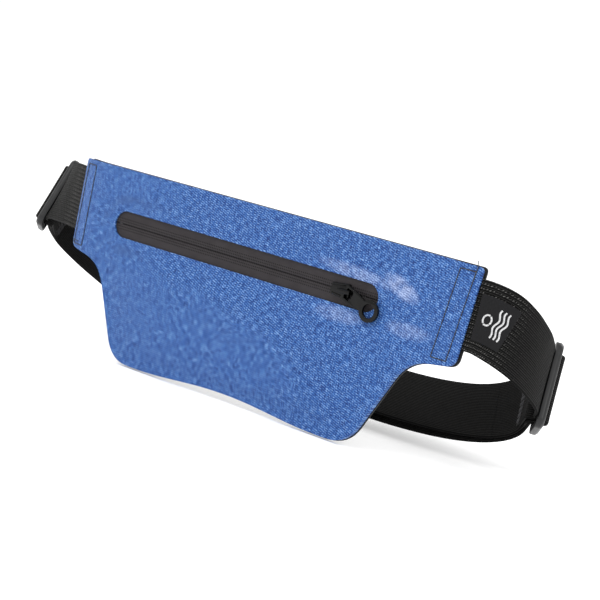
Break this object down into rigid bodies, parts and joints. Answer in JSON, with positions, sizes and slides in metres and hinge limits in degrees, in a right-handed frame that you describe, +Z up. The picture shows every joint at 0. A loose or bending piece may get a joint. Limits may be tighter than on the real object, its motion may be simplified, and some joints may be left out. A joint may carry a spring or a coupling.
{
  "type": "waist bag",
  "caption": "Flat blue fabric waist bag with a coated front zip and an adjustable black elastic belt.",
  "frame": {"origin": "bottom centre of the bounding box", "axes": "+Z up through the standing bag, +X along the zip to the viewer's right, the zipped front faces -Y"},
  "size_m": [0.3972, 0.1182, 0.1105],
  "materials": {
    "blue_fabric": "coated melange weave",
    "backing_fabric": "matte weave",
    "webbing": "ribbed elastic webbing",
    "thread": "twisted thread",
    "label_fabric": "printed satin",
    "zip_film": "matte coated tape",
    "coil_nylon": "nylon coil",
    "weld_film": "welded film",
    "slider_metal": "gloss black lacquer",
    "stop_metal": "pressed",
    "acetal": "moulded satin"
  },
  "bodies": {
    "bag": {"front_panel": "blue_fabric", "back_panel": "backing_fabric", "chamber_weld": "weld_film", "box_stitch_right": "thread", "box_stitch_left": "thread", "zip_tape_upper": "zip_film", "zip_tape_lower": "zip_film", "zip_coil_upper": "coil_nylon", "zip_coil_lower": "coil_nylon", "zip_stop_closed": "stop_metal", "zip_stop_open": "stop_metal", "strap_front_right": "webbing", "strap_outer_right": "webbing", "strap_inner_right": "webbing", "strap_stub_right": "webbing", "strap_hairpin_right": "webbing", "strap_front_left": "webbing", "strap_outer_left": "webbing", "strap_inner_left": "webbing", "strap_stub_left": "webbing", "strap_hairpin_left": "webbing", "strap_label": "label_fabric", "buckle_socket": "acetal"},
    "zip_slider": {"slider_body": "slider_metal"},
    "zip_pull": {"pull_tab": "slider_metal"},
    "right_glide": {"tri_glide_right": "acetal", "strap_wrap_right": "webbing", "strap_loop_right": "webbing"},
    "left_glide": {"tri_glide_left": "acetal", "strap_wrap_left": "webbing", "strap_loop_left": "webbing"},
    "plug": {"buckle_plug": "acetal"},
    "upper_arm": {"latch_arm_upper": "acetal"},
    "lower_arm": {"latch_arm_lower": "acetal"}
  },
  "joints": [
    {"name": "zip_travel", "type": "slide", "parent": "bag", "child": "zip_slider", "axis": [1, 0, 0], "range_m": [-0.152, 0.004], "deforming": ["zip_tape_upper", "zip_tape_lower", "zip_coil_upper", "zip_coil_lower"]},
    {"name": "pull_flip", "type": "hinge", "parent": "zip_slider", "child": "zip_pull", "pos_m": [0.09503, -0.05656, 0.0786], "axis": [-0.342, 0, -0.9397], "range_deg": [0, 160]},
    {"name": "glide_right_travel", "type": "slide", "parent": "bag", "child": "right_glide", "axis": [-0.5185, 0.7687, -0.3746], "range_m": [-0.02, 0.02], "deforming": ["strap_front_right", "strap_outer_right", "strap_inner_right", "strap_stub_right"]},
    {"name": "glide_left_travel", "type": "slide", "parent": "bag", "child": "left_glide", "axis": [-0.6049, 0.747, -0.2756], "range_m": [-0.02, 0.02], "deforming": ["strap_front_left", "strap_outer_left", "strap_inner_left", "strap_stub_left"]},
    {"name": "buckle_release", "type": "slide", "parent": "bag", "child": "plug", "axis": [-1, 0, 0], "range_m": [0, 0.03], "deforming": ["strap_hairpin_left", "latch_arm_upper", "latch_arm_lower"]},
    {"name": "arm_upper_press", "type": "hinge", "parent": "plug", "child": "upper_arm", "pos_m": [0.02953, 0.03955, 0.02868], "axis": [0, 0.6157, -0.788], "range_deg": [0, 13], "stiffness_Nm_per_rad": 0.005},
    {"name": "arm_lower_press", "type": "hinge", "parent": "plug", "child": "lower_arm", "pos_m": [0.02953, 0.01591, 0.01021], "axis": [0, -0.6157, 0.788], "range_deg": [0, 13], "stiffness_Nm_per_rad": 0.005}
  ]
}
